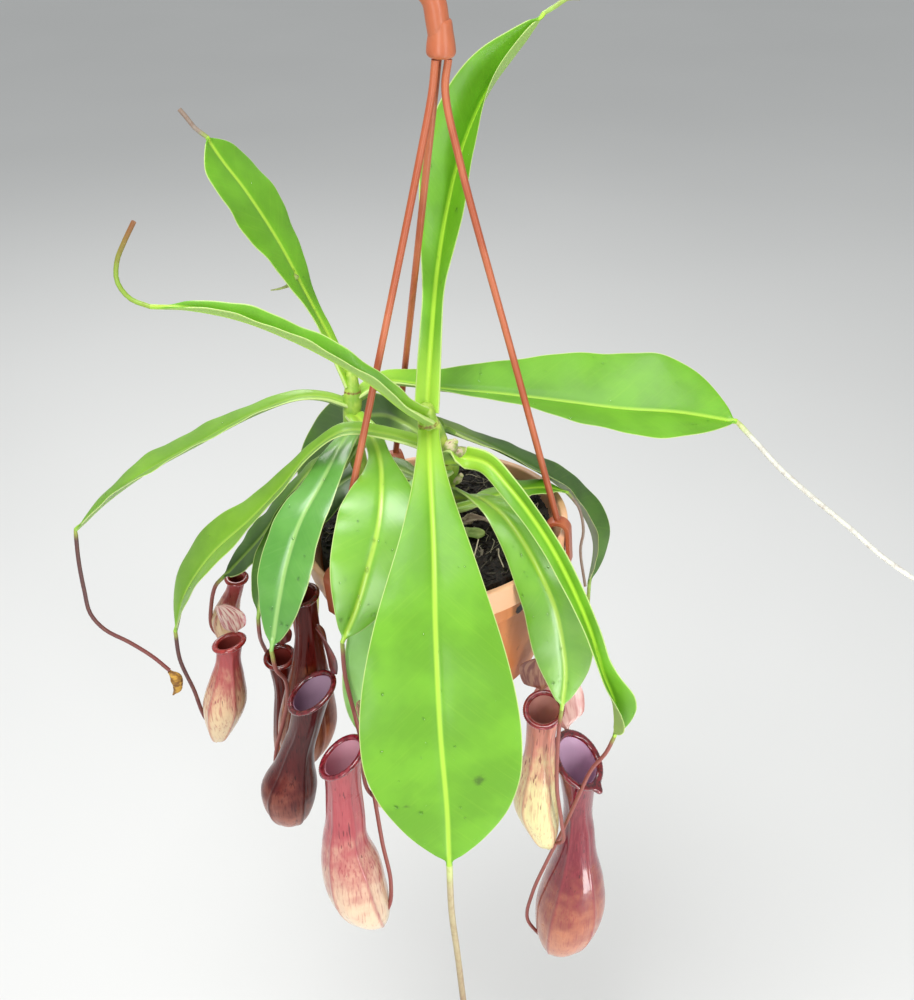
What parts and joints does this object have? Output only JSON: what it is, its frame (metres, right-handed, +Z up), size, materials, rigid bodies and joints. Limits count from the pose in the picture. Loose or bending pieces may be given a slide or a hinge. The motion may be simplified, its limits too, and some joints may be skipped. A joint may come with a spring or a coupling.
{
  "type": "hanging pitcher plant",
  "caption": "Potted plant with long glossy leaves whose tendrils carry lidded pitchers, in a terracotta-coloured plastic pot on a hooked hanger.",
  "frame": {"origin": "the point inside the hook where it rests on its bar", "axes": "+Z up, -Y towards the viewer of the picture, +X to the viewer's right"},
  "size_m": [0.438, 0.2267, 0.5974],
  "materials": {
    "pot": "satin moulded plastic",
    "hanger": "satin moulded plastic",
    "soil": "loose dark fibrous potting mix",
    "stem": "waxy living stem",
    "leaf": "glossy living leaf",
    "root": "dull living tissue",
    "dry_tissue": "dry papery leaf",
    "pitcher_red": "glossy living tissue",
    "pitcher_cream": "glossy living tissue"
  },
  "bodies": {
    "root": {"cut_leaf_stub": "stem", "dried_bud": "dry_tissue", "hook": "hanger", "leaf_back_left": "leaf", "leaf_back_right": "leaf", "leaf_centre_left": "leaf", "leaf_centre_under": "leaf", "leaf_folded_left": "leaf", "leaf_front": "leaf", "leaf_left": "leaf", "leaf_left_front": "leaf", "leaf_low_behind_left": "leaf", "leaf_low_left": "leaf", "leaf_low_under_left": "leaf", "leaf_lower_left": "leaf", "leaf_right": "leaf", "leaf_right_inner": "leaf", "leaf_right_outer": "leaf", "leaf_small_right": "leaf", "leaf_up": "leaf", "leaf_upper_left": "leaf", "main_stem": "stem", "pale_root": "root", "pitcher_behind_front": "pitcher_cream", "pitcher_centre_left": "pitcher_red", "pitcher_left": "pitcher_cream", "pitcher_left_front": "pitcher_red", "pitcher_left_rear": "pitcher_red", "pitcher_left_smallest": "pitcher_cream", "pitcher_left_thin": "pitcher_red", "pitcher_right": "pitcher_red", "pitcher_right_front": "pitcher_cream", "pot": "pot", "side_shoot": "stem", "soil": "soil", "strand_1": "hanger", "strand_2": "hanger", "strand_3": "hanger", "withered_leaf": "dry_tissue"}
  },
  "joints": []
}
